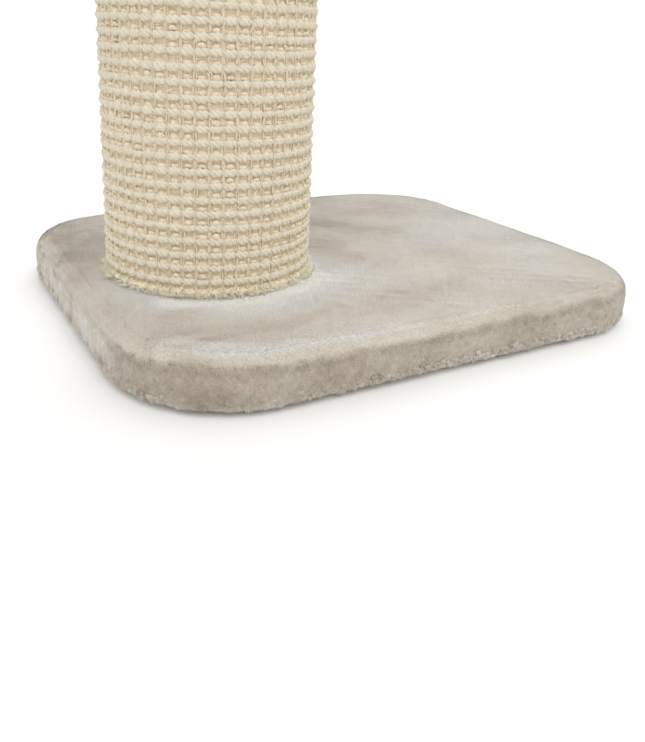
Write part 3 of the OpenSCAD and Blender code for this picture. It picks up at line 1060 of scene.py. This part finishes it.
def frayed_edge(name, z, away, flare, material, seed):
    """The cut edge of the cloth: bundles of warp ends that hang from it, others splayed out.
    away is 1 or -1, the way they point, and flare how far they splay."""
    rng = np.random.default_rng(seed)
    count, bundles = 4600, 300
    bundle = rng.integers(0, bundles, count)
    splayed = rng.random(count) < 0.42 * flare

    def draw(if_splayed, if_hanging):
        return np.where(splayed, rng.uniform(*if_splayed, count), rng.uniform(*if_hanging, count))

    theta = rng.uniform(0, TAU, bundles)[bundle] + rng.normal(0, 0.010, count)
    vigour = rng.uniform(0.6, 1.35, bundles)[bundle]
    radius = POST_R - draw((-0.6, 1.4), (-0.2, 2.2)) * MM
    height = draw((-0.8, 0.8), (0.0, 4.6)) * MM
    roots = round_points(radius, theta, z - away * height)
    outward, around = compass(theta)
    directions = outward * draw((0.6, 1.3), (-0.1, 0.45))[:, None] * flare
    directions += around * rng.normal(0, 0.5, count)[:, None]
    directions[:, 2] = away * draw((-0.35, 0.15), (0.1, 0.9))
    length = draw((1.6, 4.4), (1.8, 5.0)) * vigour * MM
    droop = outward * (length * rng.uniform(0.0, 0.4, count))[:, None] * flare
    facing = unit(outward + (0, 0, 1.3))
    thickness = rng.uniform(0.08, 0.19, count) * MM
    return hairs(name, roots, directions, length, thickness, droop, material, seed, facing)


def loose_fibres(name, count, depth, length, stray, material, seed):
    """Fine sisal fibres. depth is how far under the crests they start, stray how far they stand off."""
    rng = np.random.default_rng(seed)
    theta = rng.uniform(0, TAU, count)
    z = rng.uniform(POST_Z0 + 4 * MM, POST_Z1 - 4 * MM, count)
    roots = round_points(POST_R - rng.uniform(*depth, count) * MM, theta, z)
    outward, around = compass(theta)
    directions = outward * stray + around * rng.normal(0, 0.8, count)[:, None]
    directions[:, 2] += rng.normal(0, 0.6, count)
    length = rng.uniform(*length, count) * MM
    droop = -outward * (length * (0.15 + 0.3 * stray))[:, None]
    thickness = rng.uniform(0.09, 0.18, count) * MM
    return hairs(name, roots, directions, length, thickness, droop, material, seed)


# ---------- camera, light and floor ----------

FLOOR_REACH = 60
FLOOR_DROP = 0.2 * MM  # the floor lies this far under z = 0


def add_camera():
    """Eye 15 cm above the base, off its front left corner, turned as a hand-held shot is.
    The place, the turns, the lens and the shift were fitted to the outlines in the photo."""
    data = bpy.data.cameras.new("camera")
    data.sensor_width = 36
    data.lens = 36.95
    data.shift_x = -0.017
    data.shift_y = -0.138
    camera = add_object("camera", data)
    yaw, pitch, roll = math.radians(31.82), math.radians(17.75), math.radians(2.96)
    forward = Vector((math.sin(yaw) * math.cos(pitch), math.cos(yaw) * math.cos(pitch), -math.sin(pitch)))
    right = Vector((math.cos(yaw), -math.sin(yaw), 0))
    up = right.cross(forward)
    turned_right = right * math.cos(roll) + up * math.sin(roll)
    turned_up = up * math.cos(roll) - right * math.sin(roll)
    turn = Matrix((turned_right, turned_up, -forward)).transposed()
    eye = Vector((POST_X - 172.5 * MM, POST_Y - 427.7 * MM, BASE.high[2] + 146.6 * MM))
    camera.matrix_world = Matrix.Translation(eye) @ turn.to_4x4()
    bpy.context.scene.camera = camera


def add_softbox(name, azimuth, elevation, strength, width, colour):
    """A distant soft light. Azimuth 0 shines from the front, 90 from the right."""
    data = bpy.data.lights.new(name, "SUN")
    data.energy = strength
    data.angle = math.radians(width)
    data.color = colour
    lamp = add_object(name, data)
    turn, rise = math.radians(azimuth), math.radians(elevation)
    toward = Vector((math.sin(turn) * math.cos(rise), -math.cos(turn) * math.cos(rise), math.sin(rise)))
    lamp.location = toward * 2
    lamp.rotation_euler = toward.to_track_quat("Z", "Y").to_euler()


def add_room():
    """A white tent: bright round the horizon, a little dimmer overhead."""
    world = bpy.data.worlds.new("studio")
    world.use_nodes = True
    tree = world.node_tree
    place = tree.nodes.new("ShaderNodeTexCoord")
    split = tree.nodes.new("ShaderNodeSeparateXYZ")
    ramp = tree.nodes.new("ShaderNodeValToRGB")
    tree.links.new(place.outputs["Generated"], split.inputs[0])
    tree.links.new(split.outputs["Z"], ramp.inputs[0])
    ramp.color_ramp.elements[0].position = 0.28
    ramp.color_ramp.elements[0].color = (1, 1, 1, 1)
    ramp.color_ramp.elements[1].position = 0.5
    ramp.color_ramp.elements[1].color = (0.69, 0.69, 0.69, 1)
    tree.links.new(ramp.outputs["Color"], tree.nodes["Background"].inputs["Color"])
    tree.nodes["Background"].inputs["Strength"].default_value = 1.02
    bpy.context.scene.world = world


def add_studio():
    square = np.array([[-1, -1, 0], [1, -1, 0], [1, 1, 0], [-1, 1, 0]])
    corners = FLOOR_REACH * square - (0, 0, FLOOR_DROP)
    floor = new_object("floor", corners, [np.array([[0, 1, 2, 3]])], floor_material(), smooth=False)
    add_room()
    add_softbox("key", -12, 52, 1.0, 50, (1.0, 0.99, 0.97))
    add_softbox("left_fill", -100, 38, 0.32, 60, (0.99, 0.995, 1.0))
    add_softbox("right_fill", 60, 38, 0.4, 60, (0.99, 0.995, 1.0))
    add_softbox("back", 145, 45, 0.9, 60, (1.0, 1.0, 1.0))
    bpy.context.scene.view_settings.view_transform = "Standard"


# ---------- assembly ----------


def repaint(material, *names):
    for name in names:
        if not NODES[name].material_slots:
            NODES[name].data.materials.append(material)
        for material_slot in NODES[name].material_slots:
            material_slot.material = material


def make_plates():
    # The ground's copy of the plush is painted darker by its share, as the shade between the tufts.
    ground = plush_material("plush_ground_painted_shade", 0.9)
    pile = plush_material("plush_pile", 1.0)
    felt = felt_material()
    for plate in (BASE, PERCH):
        cover = plush_cover(plate, ground)
        pieces = plate_pile(plate, pile)
        felt_panel(plate, felt)


def make_sisal():
    ribs = sisal_material("sisal_rib", (0.58, 0.49, 0.345), (0.66, 0.61, 0.50))
    warps = sisal_material("sisal_warp", (0.56, 0.45, 0.28), (0.72, 0.64, 0.48))
    wefts = sisal_material("sisal_weft", (0.55, 0.43, 0.27), (0.71, 0.61, 0.46))
    # The back's colours are painted dark, as the shade in the furrows.
    ground = sisal_material("sisal_back", (0.45, 0.35, 0.20), (0.68, 0.56, 0.37))
    # The fringe's colours are raised near white: painted light against the shade where the lower fringe
    # meets the plush.
    fringe = sisal_material("sisal_fringe", (0.96, 0.82, 0.55), (0.99, 0.91, 0.70))
    edging = sisal_material("sisal_edging", (0.68, 0.54, 0.33), (0.93, 0.81, 0.59))
    cloth = cloth_ground(ground)
    cord = rib_strands([(EDGE_CORD - FIRST_RIB) / RIB_PITCH], 61, share=0.74)
    pieces = [
        *strand_bands("ribs", rib_strands, RIB_COUNT, 6, 11, 6, False, ribs),
        woven_piece("sisal_edge_cord", cord, 6, False, edging),
        *strand_bands("wefts", weft_strands, RIB_COUNT + 1, 2, 31, 6, False, wefts),
        *strand_bands("warps", warp_strands, WARPS, 4, 41, 5, True, warps),
        frayed_edge("sisal_fringe_lower", POST_Z0 + 1.0 * MM, -1, 1.0, fringe, 51),
        frayed_edge("sisal_fringe_upper", POST_Z1 - 1.0 * MM, 1, 0.15, fringe, 52),
        loose_fibres("sisal_fuzz", 12000, (0.7, 2.3), (2.0, 5.5), 0.20, fringe, 53),
        loose_fibres("sisal_lint", 9000, (1.5, 2.3), (1.5, 4.0), 0.1, warps, 55),
        loose_fibres("sisal_hairs", 700, (0.8, 1.4), (2.0, 5.0), 0.5, fringe, 54),
    ]


def make_hardware():
    repaint(board_material(), "base_board", "perch_board", "lower_plug", "upper_plug")
    repaint(cardboard_material(), "post_tube")
    repaint(
        steel_material(),
        "base_staples", "base_bolt", "base_washer", "lower_nails", "lower_tee_nut", "upper_nails",
        "upper_tee_nut", "seam_staples", "perch_staples", "perch_tee_nut", "perch_stud",
    )


add_camera()
make_plates()
make_sisal()
make_hardware()
add_studio()
